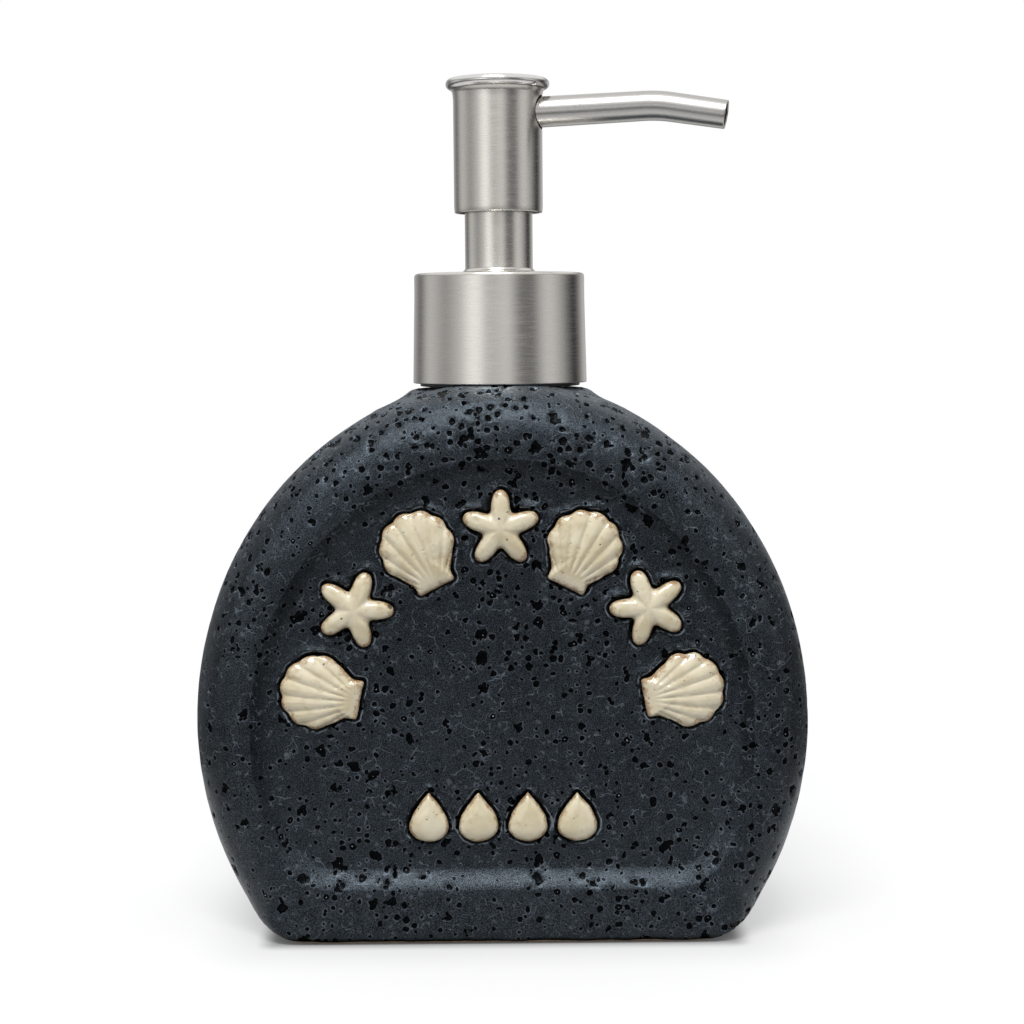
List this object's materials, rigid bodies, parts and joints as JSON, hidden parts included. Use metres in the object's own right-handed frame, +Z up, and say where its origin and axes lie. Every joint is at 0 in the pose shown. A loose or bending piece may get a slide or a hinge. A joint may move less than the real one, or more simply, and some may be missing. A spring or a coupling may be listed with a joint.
{
  "type": "soap pump dispenser",
  "caption": "Flat round stoneware flask with glazed relief ornaments, topped by a threaded steel pump with a press-down, swivelling head and a bent spout.",
  "frame": {"origin": "on the surface the flask stands on, straight under the pump's axis, which is the centre of the flask's footprint", "axes": "+Z up along the pump's axis; -Y out of the front with the reliefs; the spout points near +X at rest"},
  "size_m": [0.116, 0.048, 0.1616],
  "materials": {
    "stoneware": "dark slate-blue satin reactive glaze with black pits",
    "cream_glaze": "glossy cream glaze with tan broken edges",
    "steel": "fine brushed stainless steel",
    "polished_steel": "polished stainless steel",
    "black_plastic": "moulded black",
    "natural_plastic": "uncoloured, slightly translucent",
    "seal": "soft foam"
  },
  "bodies": {
    "flask": {"bottle": "stoneware", "relief_shell_1": "cream_glaze", "relief_shell_2": "cream_glaze", "relief_shell_3": "cream_glaze", "relief_shell_4": "cream_glaze", "relief_star_1": "cream_glaze", "relief_star_2": "cream_glaze", "relief_star_3": "cream_glaze", "relief_drop_1": "cream_glaze", "relief_drop_2": "cream_glaze", "relief_drop_3": "cream_glaze", "relief_drop_4": "cream_glaze"},
    "washer": {"neck_washer": "seal"},
    "pump": {"pump_housing": "natural_plastic", "chaplet": "black_plastic", "sleeve": "steel", "dip_tube": "natural_plastic", "return_spring": "polished_steel"},
    "closure": {"closure_cap": "black_plastic", "collar_shell": "steel"},
    "plunger": {"piston": "natural_plastic"},
    "head": {"piston_stem": "natural_plastic", "stem_plug": "natural_plastic", "actuator_core": "black_plastic", "head_shell": "steel", "head_cap": "steel", "spout_tube": "steel"},
    "ball": {"valve_ball": "polished_steel"}
  },
  "joints": [
    {"name": "pump_lift", "type": "slide", "parent": "flask", "child": "washer", "axis": [0, 0, 1], "range_m": [0, 0.125]},
    {"name": "pump_rise", "type": "slide", "parent": "washer", "child": "pump", "axis": [0, 0, 1], "range_m": [0, 0.0053]},
    {"name": "closure_turn", "type": "hinge", "parent": "pump", "child": "closure", "pos_m": [0, 0, 0.11], "axis": [0, 0, 1], "range_deg": [0, 450]},
    {"name": "head_press", "type": "slide", "parent": "pump", "child": "plunger", "axis": [0, 0, -1], "range_m": [0, 0.0105], "stiffness_N_per_m": 800, "springref_m": -0.006, "deforming": ["return_spring"]},
    {"name": "head_swivel", "type": "hinge", "parent": "plunger", "child": "head", "pos_m": [0, 0, 0.14], "axis": [0, 0, 1], "continuous": true},
    {"name": "ball_lift", "type": "slide", "parent": "pump", "child": "ball", "axis": [0, 0, 1], "range_m": [0, 0.0015]}
  ],
  "couplings": [
    {"joint": "pump_rise", "follows": "closure_turn", "m_per_rad": 0.0006737}
  ]
}
